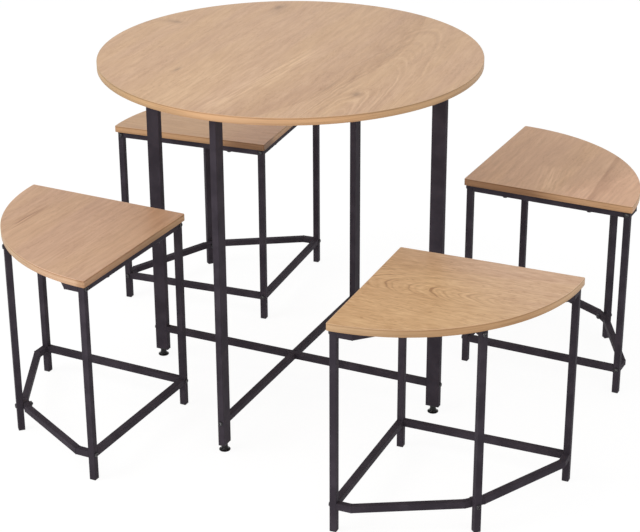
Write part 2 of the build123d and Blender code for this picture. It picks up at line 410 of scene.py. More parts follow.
@dataclass(frozen=True)
class Flash:
    """A bundle of pale streaks that follows the grain; one of less than no strength is dark."""

    across: float
    start: float
    end: float
    width: float
    slope: float = 0.0
    strength: float = 0.10

    def lift(self, bench: Bench, along: Wire, across: Wire, moved: Wire) -> Wire:
        """How much the streaks lighten the decor at a point.

        Args:
            bench: the bench of the decor.
            along: the point's place along the grain.
            across: its place across it.
            moved: the place along the grain that the noise is read at.

        Returns:
            The change of the decor's lightness.
        """
        offset = across - self.across - along * self.slope
        near = offset.size().between(self.width, 0.0)
        taper = (self.end - self.start) * 0.25
        ends = along.between(self.start, self.start + taper) * along.between(self.end, self.end - taper)
        streaks = FLASH_STREAKS.read(bench, moved, offset).between(0.40, 0.60)
        return near * ends * streaks * self.strength


@dataclass(frozen=True)
class OakDecor:
    """The printed light oak on one board.

    The grain runs along the board's own "along" direction. It forms long nested crowns about one
    centre, and turns into close straight lines to the sides.
    """

    name: str
    place: tuple[float, float]
    turn: float
    crown: tuple[float, float]
    crown_stretch: float = 0.28
    ring_scale: float = 330.0
    ring_order: float = 0.3
    line_strength: float = 0.5
    pale_strength: float = 0.08
    line_reach: float = 0.16
    crown_point: float = 2.0
    tilt: float = 0.0
    drift: float = 0.040
    sway: float = 0.013
    jitter: float = 0.0030
    tone: Colour = (0.643, 0.407, 0.255)
    line_tone: Colour = (0.42, 0.245, 0.130)
    # The painted shading tone and line paint light and shade into the decor. The seat is darker and warmer
    # where the table shades it and its sheen shows the dark legs and underside instead of white, and lighter
    # where it is more lit.
    warm_tone: Colour = (0.635, 0.396, 0.204)
    warm_line: tuple[float, float, float] = (0.0, 0.0, 0.0)
    knot_tone: Colour = (0.235, 0.130, 0.072)
    broad: float = 0.18
    mottle: float = 0.28
    streak: float = 0.30
    thin: float = 0.30
    thin_scale: float = 130.0
    thin_run: float = 11.0
    fibre: float = 0.14
    pore_strength: float = 0.07
    fleck_strength: float = 0.12
    line_fade: tuple[float, float] = (9.0, 8.0)
    depths: tuple[float, float, float] = (0.82, 1.10, 1.30)
    roughness: float = 0.33
    relief: float = 0.00012
    zones: tuple[Zone, ...] = ()
    flashes: tuple[Flash, ...] = ()
    knots: tuple[Knot, ...] = ()
    shift: float = 0.0

    def material(self) -> bpy.types.Material:
        """Builds the decor.

        Returns:
            The material of the board's faces.
        """
        bench = Bench(self.name)
        along, across, _ = bench.parts(bench.object_point((*self.place, 0.0), self.turn))
        moved = along + self.shift
        drift = DRIFT.read(bench, moved, across, self.shift)
        sway = SWAY.read(bench, moved, across, self.shift)
        jitter = JITTER.read(bench, moved, across, self.shift)
        side = across - self.crown[1] - (along - self.crown[0]) * self.tilt
        side = side + (drift - 0.5) * self.drift + (sway - 0.5) * self.sway + (jitter - 0.5) * self.jitter
        for knot in self.knots:
            side = side + knot.pull(along, across)
        dark, pale = self.rings(bench, along, across, side, sway)

        broad = BROAD.read(bench, moved, across)
        mottle = MOTTLE.read(bench, moved + sway / MOTTLE.along, side)
        streak = STREAK.read(bench, moved, side)
        thin = Layer(self.thin_run, self.thin_scale, 10.0, detail=2.0).read(bench, moved, side)
        fibre = FIBRE.read(bench, moved, side)
        pores = PORES.read(bench, moved, side).between(0.60, 0.70)
        flecks = FLECKS.read(bench, moved, side).between(0.54, 0.70)
        patch = PATCH.read(bench, moved, across).between(0.38, 0.58)

        honey = tuple(channel * share for channel, share in zip(self.tone, (0.99, 0.985, 0.92)))
        colour = bench.blend(broad.between(0.38, 0.60), self.tone, honey)
        colour = bench.blend(dark, colour, self.line_tone)
        # Painted shade and painted reflection, or painted light where the tone is lighter: the part of the
        # board past a line over the plan takes the painted shading tone.
        if any(self.warm_line):
            by_along, by_across, start = self.warm_line
            warm = (along * by_along + across * by_across + start).between(0.0, 1.0)
            colour = bench.blend(warm, colour, bench.blend(dark, self.warm_tone, self.line_tone))
        for knot in self.knots:
            colour = bench.blend(knot.spot(along, across, sway) * knot.depth, colour, self.knot_tone)
        light = (broad - 0.5) * self.broad + (mottle - 0.5) * self.mottle + (streak - 0.5) * self.streak + 1.0
        light = light + (thin - 0.5) * self.thin + (fibre - 0.5) * self.fibre - pores * self.pore_strength
        light = light + pale * self.pale_strength - flecks * patch * self.fleck_strength
        for zone in self.zones:
            light = light + zone.lift(along, across, drift)
        for flash in self.flashes:
            light = light + flash.lift(bench, along, across, moved)
        height = fibre * 0.4 + (1.0 - dark) * 0.3 - pores * 0.6 + 0.5
        return bench.surface({
            "Base Color": bench.tinted(colour, light, self.depths),
            "Roughness": (streak - 0.5) * 0.10 + pores * 0.10 + self.roughness,
            "IOR": LACQUER_IOR,
            "Specular IOR Level": 0.5,
            "Normal": bench.bump(height, self.relief, 0.6),
        })

    def rings(self, bench: Bench, along: Wire, across: Wire, side: Wire, sway: Wire) -> tuple[Wire, Wire]:
        """The growth rings: loose ones from noise, mixed with even ones.

        Args:
            bench: the bench of the decor.
            along: the place along the grain.
            across: the place across it.
            side: the place across it from the crown's middle line, with the grain's bends.
            sway: noise that makes the crown uneven.

        Returns:
            How much of a dark line there is at a point, and how much of a pale one.
        """
        moved = along + self.shift
        far = (along - self.crown[0] + (sway - 0.5) * 0.02) * self.crown_stretch
        power = self.crown_point
        radius = (side.size() ** power + far.size() ** power) ** (1.0 / power)
        turns = radius * self.ring_scale
        loose = bench.noise(bench.point(turns, moved * 2.0, across * 2.0), detail=1.0)
        slip = bench.noise(bench.point(turns * 0.2, moved * 3.0, 6.0), detail=1.0)
        even = (turns * 3.3 + slip * 14.0).sine() * 0.2 + 0.5
        rings = loose * (1.0 - self.ring_order) + even * self.ring_order
        fade = FADE.read(bench, moved, across).between(0.36, 0.62)
        near = radius.between(self.line_reach, self.line_reach * 0.3) * 0.85 + 0.15
        share = near * (along.between(*self.line_fade) * 0.8 + 0.2) * self.line_strength
        dark = rings.between(0.50, 0.68) * (fade * 0.8 + 0.2) * share
        pale = rings.between(0.48, 0.34) * (fade * 0.6 + 0.4) * share
        return dark, pale


@dataclass(frozen=True)
class PaintedEdgeLight:
    """Painted light and shade on a stretch of banding, whose tint is full where a sum over the plan passes 1.
    """

    by_x: float
    by_y: float
    start: float
    tint: Colour


@dataclass(frozen=True)
class OakBanding:
    """Oak edge banding: fine level grain lines, a thin glue line under the board's face, a painted highlight
    along its top rim, and stretches of painted light and shade.
    """

    name: str
    place: tuple[float, float]
    turn: float
    top: float
    painted_lights: tuple[PaintedEdgeLight, ...] = ()
    thickness: float = 0.015
    tone: Colour = (0.540, 0.325, 0.165)
    dark_tone: Colour = (0.30, 0.150, 0.060)
    rim_highlight_tone: Colour = (0.68, 0.455, 0.290)

    def material(self) -> bpy.types.Material:
        """Builds the banding.

        Returns:
            The material of the board's edge.
        """
        bench = Bench(self.name)
        x, y, z = bench.parts(bench.object_point())
        # "down" runs from 0 at the board's face to 1 at its underside
        waver = bench.noise(bench.point(x * 9.0, y * 9.0, 5.0), detail=2.0)
        down = (self.top - z) / self.thickness - (waver - 0.5) * 0.06
        slow = bench.noise(bench.point(x * 6.0, y * 6.0, z * 90.0), detail=2.0)
        lines = bench.noise(bench.point(x * 11.0, y * 11.0, z * 640.0), detail=2.0)
        fibre = bench.noise(bench.point(x * 60.0, y * 60.0, z * 2600.0), detail=1.0)
        seam = down.between(0.01, 0.04) * down.between(0.24, 0.12)
        glow = down.between(0.14, 0.28) * down.between(0.66, 0.44)
        foot = down.between(0.50, 1.0)
        colour = bench.blend(lines.between(0.46, 0.72) * 0.45, self.tone, self.dark_tone)
        # Painted highlight: the band's top rim is paler, as if its eased edge caught the light.
        colour = bench.blend(down.between(0.03, 0.01) * 0.75, colour, self.rim_highlight_tone)
        colour = bench.blend(seam * (waver * 0.6 + 0.25), colour, self.dark_tone)
        colour = bench.blend(foot * 0.30, colour, self.dark_tone)
        light = (slow - 0.5) * 0.40 + (fibre - 0.5) * 0.10 + glow * 0.05 + 1.0
        colour = bench.scaled(colour, light)
        here_x, here_y, _ = bench.parts(bench.object_point((*self.place, 0.0), self.turn))
        # Painted light and shade: stretches of the banding are tinted lighter or darker, standing in for the
        # lamps and the table's shadow.
        for painted_stretch in self.painted_lights:
            share = (here_x * painted_stretch.by_x + here_y * painted_stretch.by_y + painted_stretch.start).between(0.0, 1.0)
            colour = bench.times(colour, bench.blend(share, (1.0, 1.0, 1.0), painted_stretch.tint))
        return bench.surface({
            "Base Color": colour,
            "Roughness": (slow - 0.5) * 0.2 + 0.47,
            "IOR": LACQUER_IOR,
            "Specular IOR Level": 0.3,
            "Normal": bench.bump(fibre + lines, 0.00008, 0.5),
        })


@dataclass(frozen=True)
class PowderCoat:
    """Satin black powder coat with its fine orange peel."""

    name: str = "black_powder_coat"
    tone: Colour = (0.0350, 0.0287, 0.0366)
    light_tone: Colour = (0.0498, 0.0412, 0.0517)
    roughness: float = 0.60
    peel: float = 1500.0

    def material(self) -> bpy.types.Material:
        """Builds the coat.

        Returns:
            The material of the steel tube.
        """
        bench = Bench(self.name)
        here = bench.object_point()
        peel = bench.noise(here, self.peel, detail=2.0, roughness=0.55)
        cloud = bench.noise(here, 22.0, detail=3.0)
        grit = bench.noise(here, 5200.0, detail=1.0)
        return bench.surface({
            "Base Color": bench.blend(cloud.between(0.35, 0.7), self.tone, self.light_tone),
            "Roughness": (cloud - 0.5) * 0.14 + (grit - 0.5) * 0.10 + self.roughness,
            "IOR": 1.5,
            "Specular IOR Level": 0.05,
            "Normal": bench.bump(peel + grit * 0.25, 0.00006, 0.55),
        })


@dataclass(frozen=True)
class BlackOxide:
    """Blackened steel of the bolts and screws, brighter where it is rubbed, with a painted glint in the
    sockets shown as bare worn steel.
    """

    name: str = "black_oxide"
    tone: Colour = (0.024, 0.022, 0.025)
    rubbed_tone: Colour = (0.11, 0.105, 0.11)
    bare_glint_tone: Colour = (0.78, 0.75, 0.79)
    roughness: float = 0.24

    def material(self) -> bpy.types.Material:
        """Builds the finish.

        Returns:
            The material of bolts and screws.
        """
        bench = Bench(self.name)
        here = bench.object_point()
        cloud = bench.noise(here, 420.0, detail=3.0)
        fine = bench.noise(here, 3800.0, detail=1.0)
        glint_wear = bench.add("ShaderNodeAttribute", {"attribute_name": "glint_wear"}, out="Fac")
        black = bench.blend(cloud.between(0.5, 0.75), self.tone, self.rubbed_tone)
        return bench.surface({
            # Painted glint, partly wear: the socket floors turn to bright bare steel.
            "Base Color": bench.blend(glint_wear * (cloud.between(0.7, 0.3) * 0.4 + 0.6), black, self.bare_glint_tone),
            "Roughness": (cloud - 0.5) * 0.25 + self.roughness,
            "Metallic": cloud.between(0.45, 0.8) * 0.3 + glint_wear * 0.3 + 0.35,
            "Normal": bench.bump(fine, 0.00003, 0.4),
        })


@dataclass(frozen=True)
class ZincPlate:
    """Black zinc plating on nuts and inserts, with a soft brushed grain."""

    name: str = "black_zinc_plate"
    tone: Colour = (0.045, 0.042, 0.048)
    dull_tone: Colour = (0.022, 0.020, 0.023)

    def material(self) -> bpy.types.Material:
        """Builds the plating.

        Returns:
            The material of nuts and inserts.
        """
        bench = Bench(self.name)
        here = bench.object_point()
        cloud = bench.noise(here, 300.0, detail=3.0)
        x, y, z = bench.parts(here)
        brush = bench.noise(bench.point(x * 500.0, y * 500.0, z * 6000.0), detail=1.0)
        return bench.surface({
            "Base Color": bench.blend(cloud.between(0.4, 0.7), self.tone, self.dull_tone),
            "Roughness": (cloud - 0.5) * 0.3 + (brush - 0.5) * 0.15 + 0.42,
            "Metallic": 0.6,
            "Normal": bench.bump(brush, 0.00002, 0.4),
        })


@dataclass(frozen=True)
class MouldedPlastic:
    """Moulded black plastic: matt with a fine grain, or glossy."""

    name: str
    tone: Colour = (0.020, 0.019, 0.021)
    roughness: float = 0.5
    grain: float = 0.00005
    coat: float = 0.0
    specular: float = 0.25

    def material(self) -> bpy.types.Material:
        """Builds the plastic.

        Returns:
            The material of plugs and feet.
        """
        bench = Bench(self.name)
        here = bench.object_point()
        fine = bench.noise(here, 2400.0, detail=2.0)
        cloud = bench.noise(here, 90.0, detail=3.0)
        pale = tuple(channel * 1.7 for channel in self.tone)
        return bench.surface({
            "Base Color": bench.blend(cloud.between(0.4, 0.8) * 0.6, self.tone, pale),
            "Roughness": (cloud - 0.5) * 0.12 + self.roughness,
            "Specular IOR Level": self.specular,
            "Coat Weight": self.coat,
            "Coat Roughness": 0.08,
            "Normal": bench.bump(fine, self.grain, 0.5),
        })


# Modelling helpers


class Workshop:
    """Modelling by hand with Blender's operators."""

    @staticmethod
    def deselect() -> None:
        """Leaves edit mode and deselects everything."""
        if bpy.context.mode != "OBJECT":
            bpy.ops.object.mode_set(mode="OBJECT")
        bpy.ops.object.select_all(action="DESELECT")

    @classmethod
    def pick(cls, piece: bpy.types.Object) -> None:
        """Selects one piece alone and makes it the active one.

        Args:
            piece: the piece.
        """
        cls.deselect()
        piece.select_set(True)
        bpy.context.view_layer.objects.active = piece

    @classmethod
    def open_all(cls, piece: bpy.types.Object) -> None:
        """Opens a piece in edit mode with all of it selected.

        Args:
            piece: the piece.
        """
        cls.pick(piece)
        bpy.ops.object.mode_set(mode="EDIT")
        bpy.ops.mesh.select_all(action="SELECT")

    @staticmethod
    def close() -> None:
        """Leaves edit mode."""
        bpy.ops.object.mode_set(mode="OBJECT")

    @classmethod
    def mark(cls, piece: bpy.types.Object, wanted: Callable[[Vector, Vector], bool]) -> None:
        """Opens a piece in edit mode with only some of its edges selected.

        Args:
            piece: the piece.
            wanted: whether an edge is selected, from the places of its two ends.
        """
        cls.open_all(piece)
        bpy.ops.mesh.select_mode(type="EDGE")
        bpy.ops.mesh.select_all(action="DESELECT")
        cls.close()
        points = piece.data.vertices
        for edge in piece.data.edges:
            edge.select = wanted(*(points[number].co for number in edge.vertices))
        bpy.ops.object.mode_set(mode="EDIT")

    @classmethod
    def round_rim(
        cls, head: bpy.types.Object, height: float, offset: float, segments: int, profile: float
    ) -> None:
        """Rounds the rim at the outer end of a screw's or bolt's head.

        Args:
            head: the head, which reaches from the origin down the Z axis.
            height: how high the head is.
            offset: how far the rounding reaches.
            segments: how many steps it has.
            profile: how full it is, from 0 to 1.
        """
        cls.mark(head, lambda one, two: max(one.z, two.z) < -height * 0.9)
        bpy.ops.mesh.bevel(offset=offset, segments=segments, profile=profile)
        cls.close()

    @classmethod
    def cylinder(cls, radius: float, low: float, high: float, sides: int) -> bpy.types.Object:
        """Adds an upright cylinder on the Z axis.

        Args:
            radius: its radius.
            low: the height of its lower end.
            high: the height of its upper end.
            sides: how many faces it has round it.

        Returns:
            The cylinder.
        """
        cls.deselect()
        bpy.ops.mesh.primitive_cylinder_add(
            vertices=sides, radius=radius, depth=high - low, location=(0.0, 0.0, (low + high) / 2)
        )
        piece = bpy.context.active_object
        bpy.ops.object.transform_apply(location=True, rotation=True, scale=True)
        return piece

    @classmethod
    def cut(cls, piece: bpy.types.Object, tool: bpy.types.Object) -> None:
        """Cuts one piece out of another and removes the tool.

        Args:
            piece: the piece that stays.
            tool: the piece that is cut out of it.
        """
        cls.pick(piece)
        modifier = piece.modifiers.new("cut", "BOOLEAN")
        modifier.operation = "DIFFERENCE"
        modifier.solver = "EXACT"
        modifier.object = tool
        bpy.ops.object.modifier_apply(modifier="cut")
        bpy.data.objects.remove(tool)

    @classmethod
    def join(cls, pieces: Sequence[bpy.types.Object], name: str) -> bpy.types.Object:
        """Joins pieces into one.

        Args:
            pieces: the pieces.
            name: the name of the joined one.

        Returns:
            The joined piece.
        """
        cls.pick(pieces[0])
        for piece in pieces:
            piece.select_set(True)
        if len(pieces) > 1:
            bpy.ops.object.join()
        result = bpy.context.view_layer.objects.active
        result.name = name
        result.data.name = name
        return result

    @classmethod
    def outward(cls, piece: bpy.types.Object) -> None:
        """Merges doubled points and turns all faces outwards.

        Args:
            piece: the piece.
        """
        cls.open_all(piece)
        bpy.ops.mesh.remove_doubles(threshold=0.000001)
        bpy.ops.mesh.normals_make_consistent(inside=False)
        cls.close()

    @classmethod
    def smooth(cls, piece: bpy.types.Object, angle: float = 35.0) -> None:
        """Shades a piece smooth up to an angle between faces."""
        cls.pick(piece)
        bpy.ops.object.shade_smooth_by_angle(angle=math.radians(angle))

    @classmethod
    def copies(
        cls, model: bpy.types.Object, places: Sequence[Matrix], name: str, keep_model: bool = False
    ) -> bpy.types.Object:
        """Sets one copy of a model at each place, and joins the copies.

        Args:
            model: the piece that repeats, at the origin.
            places: where each copy goes.
            name: the name of the joined piece.
            keep_model: whether the model is needed again.

        Returns:
            The joined piece, with its place in its mesh.
        """
        made = []
        for place in places:
            piece = model.copy()
            piece.data = model.data.copy()
            bpy.context.scene.collection.objects.link(piece)
            piece.data.transform(place)
            made.append(piece)
        if not keep_model:
            bpy.data.objects.remove(model)
        return cls.join(made, name)

    @classmethod
    def thread(cls, radius: float, depth: float, pitch: float, turns: int, low: float) -> bpy.types.Object:
        """Models a screw thread with one tooth that winds up the Z axis.

        Args:
            radius: the thread's outer radius.
            depth: how deep the thread is cut.
            pitch: how far it climbs in a turn.
            turns: how many turns it has.
            low: the height of its lower end.

        Returns:
            The thread.
        """
        cls.deselect()
        bpy.ops.mesh.primitive_plane_add(size=1.0)
        piece = bpy.context.active_object
        core = radius - depth
        tooth = ((core, 0.0), (radius, pitch * 0.4), (core, pitch), (radius, pitch * 0.6))
        for point, (out, up) in zip(piece.data.vertices, tooth):
            point.co = (out, 0.0, low + up)
        cls.open_all(piece)
        bpy.ops.mesh.delete(type="ONLY_FACE")
        cls.mark(piece, lambda one, two: max(one.x, two.x) < radius - depth / 2)
        bpy.ops.mesh.delete(type="EDGE")
        cls.close()
        screw = piece.modifiers.new("thread", "SCREW")
        screw.axis = "Z"
        screw.screw_offset = pitch
        screw.iterations = turns
        screw.steps = screw.render_steps = 24
        screw.use_merge_vertices = True
        screw.merge_threshold = 0.00001
        cls.pick(piece)
        bpy.ops.object.modifier_apply(modifier="thread")
        cls.outward(piece)
        return piece


def turned(degrees: float) -> Matrix:
    """A turn about the Z axis."""
    return Matrix.Rotation(math.radians(degrees), 4, "Z")


def standing(
    place: Sequence[float], along: Sequence[float], stretch: float = 1.0, roll: float = 0.0
) -> Matrix:
    """Where a model drawn along Z goes.

    Args:
        place: where its origin goes.
        along: where its Z axis points.
        stretch: a scale across the model, level when it lies down.
        roll: its turn about its own axis, in degrees.

    Returns:
        The matrix.
    """
    forward = Vector(along).normalized()
    up = Vector((0.0, 0.0, 1.0)) if abs(forward.z) < 0.9 else Vector((0.0, 1.0, 0.0))
    level = up.cross(forward).normalized()
    up = forward.cross(level)
    axes = Matrix((level, up, forward)).transposed().to_4x4()
    size = Matrix.Diagonal((stretch, 1.0, 1.0, 1.0))
    return Matrix.Translation(place) @ axes @ size @ turned(roll)


# Sizes of the set


@dataclass(frozen=True)
class Stock:
    """The tube, board and fastener sizes that the whole set shares."""

    tube: float = 0.014
    tube_corner: float = 0.0012
    board: float = 0.015
    bolt_radius: float = 0.003
    head_radius: float = 0.0052
    head_height: float = 0.0032
    socket: float = 0.004
    socket_depth: float = 0.0019
    insert: float = 0.012
    nut: float = 0.005
    tail: float = 0.002
    screw_radius: float = 0.002
    pan_radius: float = 0.0055
    pan_height: float = 0.0030
    bite: float = 0.010
    pitch: float = 0.001
    thread_depth: float = 0.0003
    overlap: float = 0.0002
    recess_depth: float = 0.0013
    recess_mouth: tuple[float, float] = (0.0046, 0.0010)
    recess_floor: tuple[float, float] = (0.0022, 0.0007)

    @property
    def half(self) -> float:
        """Half the tube's width."""
        return self.tube / 2

    @property
    def core_radius(self) -> float:
        """The radius of a bolt or stud under its thread."""
        return self.bolt_radius - self.thread_depth


@dataclass(frozen=True)
class Place:
    """Where a sub-assembly stands in the set: its origin and its turn in degrees."""

    x: float
    y: float
    turn: float = 0.0

    def matrix(self) -> Matrix:
        """The place as a matrix."""
        return Matrix.Translation((self.x, self.y, 0.0)) @ turned(self.turn)

    def moved(self, places: Sequence[Matrix]) -> list[Matrix]:
        """Places in the sub-assembly as places in the set."""
        return [self.matrix() @ place for place in places]


# How many faces go round a head and a shank, and how far a cutting tool reaches out of a head
HEAD_SIDES, SHANK_SIDES = 32, 24
TOOL_REACH = 0.006
# How many turns of thread the bolt through two tubes shows
THREAD_TURNS = 8


class Fasteners:
    """Models of the bolts and screws, drawn along Z with the underside of the head at the origin."""

    def __init__(self, stock: Stock) -> None:
        """Keeps the sizes."""
        self.stock = stock

    def button_bolt(self, length: float, threaded: int = 0, glint_share: float = 0.25) -> bpy.types.Object:
        """Models a button-head bolt with a hexagon socket.

        Args:
            length: the length under the head.
            threaded: how many turns of thread its end shows.
            glint_share: how bright its socket's floor is, from 0 to 1; a painted glint, shown as bare worn
                steel.

        Returns:
            The bolt.
        """
        stock = self.stock
        top = -stock.head_height
        head = Workshop.cylinder(stock.head_radius, top, 0.0, HEAD_SIDES)
        Workshop.round_rim(head, stock.head_height, stock.head_height * 0.72, 5, 0.55)
        floor = top + stock.socket_depth
        Workshop.cut(head, Workshop.cylinder(stock.socket / math.sqrt(3.0), floor - TOOL_REACH, floor, 6))
        # Painted glint: the socket's floor is marked for a bright bare finish, which stands for a highlight
        # of the lamps as well as for wear.
        glint_wear = head.data.attributes.new("glint_wear", "FLOAT", "FACE")
        for face in head.data.polygons:
            level = abs(face.normal.z) > 0.9 and abs(face.center.z - floor) < stock.overlap
            glint_wear.data[face.index].value = glint_share * (level and face.center.xy.length < stock.socket * 0.65)
        plain = length - threaded * stock.pitch
        pieces = [head, Workshop.cylinder(stock.bolt_radius, -stock.overlap, plain, SHANK_SIDES)]
        if threaded:
            low = plain - stock.overlap
            pieces += [
                Workshop.thread(stock.bolt_radius, stock.thread_depth, stock.pitch, threaded - 1, low),
                Workshop.cylinder(stock.core_radius, low - stock.overlap, length, SHANK_SIDES),
            ]
        bolt = Workshop.join(pieces, "button_bolt")
        Workshop.smooth(bolt)
        return bolt

    def pan_screw(self) -> bpy.types.Object:
        """Models a pan-head screw with a cross recess, which goes up through a rail into a board.

        Returns:
            The screw.
        """
        stock = self.stock
        top = -stock.pan_height
        head = Workshop.cylinder(stock.pan_radius, top, 0.0, HEAD_SIDES)
        Workshop.round_rim(head, stock.pan_height, stock.pan_height * 0.5, 4, 0.5)
        for turn in (0.0, 90.0):
            Workshop.deselect()
            bpy.ops.mesh.primitive_cube_add(size=1.0)
            slot = bpy.context.active_object
            for point in slot.data.vertices:
                outer = point.co.z < 0
                reach, width = stock.recess_mouth if outer else stock.recess_floor
                level = top - 0.001 if outer else top + stock.recess_depth
                point.co = (point.co.x * reach, point.co.y * width, level)
            slot.data.transform(turned(turn))
            Workshop.cut(head, slot)
        shank = Workshop.cylinder(stock.screw_radius, -stock.overlap, stock.tube + stock.bite, 16)
        screw = Workshop.join([head, shank], "pan_screw")
        Workshop.smooth(screw)
        return screw


class WeldSeams:
    """Thin weld seams round the ends and mitres of square tube."""

    def __init__(self, stock: Stock, thickness: float = 0.0007, beads: int = 11, waist: float = 0.78) -> None:
        """Models one seam round a tube's end, level in the XY plane.

        Args:
            stock: the set's tube.
            thickness: the seam's radius at its beads.
            beads: how many cuts a side of the tube gets for them.
            waist: the seam's share of that radius between two beads.
        """
        Workshop.deselect()
        bpy.ops.mesh.primitive_plane_add(size=stock.tube)
        seam = bpy.context.active_object
        Workshop.open_all(seam)
        bpy.ops.mesh.bevel(offset=stock.tube_corner, segments=3, affect="VERTICES")
        bpy.ops.mesh.delete(type="ONLY_FACE")
        Workshop.mark(seam, lambda one, two: (one - two).length > stock.half)
        bpy.ops.mesh.subdivide(number_cuts=beads)
        Workshop.close()
        bpy.ops.object.convert(target="CURVE")
        seam = bpy.context.active_object
        seam.data.dimensions = "3D"
        seam.data.bevel_depth = thickness
        seam.data.bevel_resolution = 1
        for spline in seam.data.splines:
            for number, point in enumerate(spline.points):
                point.radius = 1.0 if number % 2 else waist
        bpy.ops.object.convert(target="MESH")
        self.model = bpy.context.active_object
        Workshop.outward(self.model)
        Workshop.smooth(self.model, 50.0)

    def at(self, places: Sequence[Matrix], name: str) -> bpy.types.Object:
        """Sets seams at all these places as one piece."""
        return Workshop.copies(self.model, places, name, keep_model=True)

    def put_away(self) -> None:
        """Removes the model when all seams are set."""
        bpy.data.objects.remove(self.model)


# Sub-assemblies


@dataclass
class Stool:
    """One quarter-round stool, in its own plan: its straight edges run along X and Y from the origin."""

    name: str
    place: Place
    decor: OakDecor
    edge_tone: Colour = (0.540, 0.325, 0.165)
    painted_edge_light: tuple[PaintedEdgeLight, ...] = ()
    stock: Stock = field(default_factory=Stock)
    seat_radius: float = 0.382
    seat_height: float = 0.447
    leg_inset: float = 0.0048
    end_inset: float = 0.0053
    mid_leg_inset: float = 0.0005
    ring_height: float = 0.057
    short_run: float = 0.048
    chord_half: float = 0.020
    screw_shares: tuple[float, float] = (0.243, 0.745)
    arc_screw_share: float = 0.25
    screw_turn: float = 0.9

    def __post_init__(self) -> None:
        """Works out the lines that the legs and rails follow."""
        half = self.stock.half
        self.leg_line = self.leg_inset + half
        self.end_line = self.seat_radius - self.end_inset - half
        self.mid_radius = self.seat_radius - self.mid_leg_inset - half
        self.leg_top = self.seat_height - self.stock.board
        self.levels = (self.ring_height, self.leg_top - half)
        self.body = "stool_" + self.name

    def node(self, piece: str) -> str:
        """The name of one of this stool's CAD nodes."""
        return f"{self.name}_{piece}"

    def upper_arc_points(self, *bends: Vector) -> list[Vector]:
        """The corners of the upper arc rail's centre line, which runs straight from bend to bend.

        Args:
            bends: more bends in the rail's first half.

        Returns:
            The corners; the second half mirrors the first.
        """
        start = self.leg_line + self.stock.half
        first = [Vector((self.end_line, start)), Vector((self.end_line, self.short_run)), *bends]
        return first + [Vector((point.y, point.x)) for point in reversed(first)]

    def lower_arc_points(self) -> list[Vector]:
        """The corners of the lower arc rail's centre line, which has two more bends.

        Returns:
            The corners.
        """
        chord = self.mid_radius - self.stock.tube
        bend = Vector((chord + self.chord_half, chord - self.chord_half)) * math.sqrt(0.5)
        return self.upper_arc_points(bend)

    def seam_places(self) -> list[Matrix]:
        """Where the frame's weld seams run.

        Returns:
            The places of the seams at the rails' ends and mitres, and at the root of the spur.
        """
        half = self.stock.half
        start, end = self.leg_line + half, self.end_line - half
        root = (self.end_line + self.short_run) / 2 + half * math.sqrt(0.5)
        places = [standing((root, root, self.levels[1]), (1.0, 1.0, 0.0))]
        for level, points in zip(self.levels, (self.lower_arc_points(), self.upper_arc_points())):
            places += [
                standing((self.leg_line, start, level), (0.0, 1.0, 0.0)),
                standing((self.leg_line, end, level), (0.0, 1.0, 0.0)),
                standing((end, self.leg_line, level), (1.0, 0.0, 0.0)),
            ]
            for before, here, after in zip(points, points[1:], points[2:]):
                one, two = (here - before).normalized(), (after - here).normalized()
                middle = (one + two).normalized()
                stretch = 1.0 / max(middle.dot(one), 0.5)
                places.append(standing((here.x, here.y, level), (middle.x, middle.y, 0.0), stretch))
        return places

    def bolt_places(self) -> tuple[list[Matrix], list[Matrix]]:
        """Where the bolts go.

        Returns:
            The places of the bolts into the rails' ends, and that of the bolt through the lower arc rail.
        """
        ends = []
        for number, level in enumerate(self.levels):
            ends += [
                standing((self.leg_inset, self.leg_line, level), (1.0, 0.0, 0.0), roll=17.0 + 70.0 * number),
                standing((self.end_line, self.leg_inset, level), (0.0, 1.0, 0.0), roll=41.0 + 50.0 * number),
                standing((self.leg_inset, self.end_line, level), (1.0, 0.0, 0.0), roll=5.0 + 80.0 * number),
            ]
        reach = (self.mid_radius + self.stock.half) * math.sqrt(0.5)
        lower, upper = self.levels
        ends.append(standing((reach, reach, upper), (-1.0, -1.0, 0.0), roll=89.0))
        return ends, [standing((reach, reach, lower), (-1.0, -1.0, 0.0), roll=29.0)]

    def screw_places(self) -> list[Matrix]:
        """Where the seat screws go.

        Returns:
            The places of the screws, each with its own turn.
        """
        spots = [Vector((share * self.seat_radius, self.leg_line)) for share in self.screw_shares]
        start, end = self.upper_arc_points()[1:3]
        spots.append(start.lerp(end, self.arc_screw_share))
        spots += [Vector((spot.y, spot.x)) for spot in list(spots)]
        bottom = self.leg_top - self.stock.tube
        return [
            Matrix.Translation((spot.x, spot.y, bottom)) @ Matrix.Rotation(self.screw_turn * number, 4, "Z")
            for number, spot in enumerate(spots)
        ]

    def build(self, seams: WeldSeams, fasteners: Fasteners, finishes: "Finishes") -> None:
        """Models this stool's own pieces and dresses all of it.

        Args:
            seams: the weld seams.
            fasteners: the models of bolts and screws.
            finishes: the finishes that the set shares.
        """
        moved = self.place.moved
        welds = seams.at(moved(self.seam_places()), self.node("weld_seams"))
        finishes.dress(welds, Slot.BLACK_STEEL)
        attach(welds, self.body)

        ends, middles = self.bolt_places()
        stock = self.stock
        short = fasteners.button_bolt(stock.tube + stock.insert)
        long = fasteners.button_bolt(stock.tube * 2 + stock.nut + stock.tail, threaded=THREAD_TURNS)
        pieces = [
            Workshop.copies(short, moved(ends), "end_bolts"),
            Workshop.copies(long, moved(middles), "middle_bolts"),
        ]
        bolts = Workshop.join(pieces, self.node("button_bolts"))
        finishes.dress(bolts, Slot.BLACK_BOLT)
        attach(bolts, self.body)
        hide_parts(self.node("frame_bolts"))

        screws = Workshop.copies(fasteners.pan_screw(), moved(self.screw_places()), self.node("pan_screws"))
        finishes.dress(screws, Slot.BLACK_BOLT)
        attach(screws, self.body)
        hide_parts(self.node("seat_screws"))

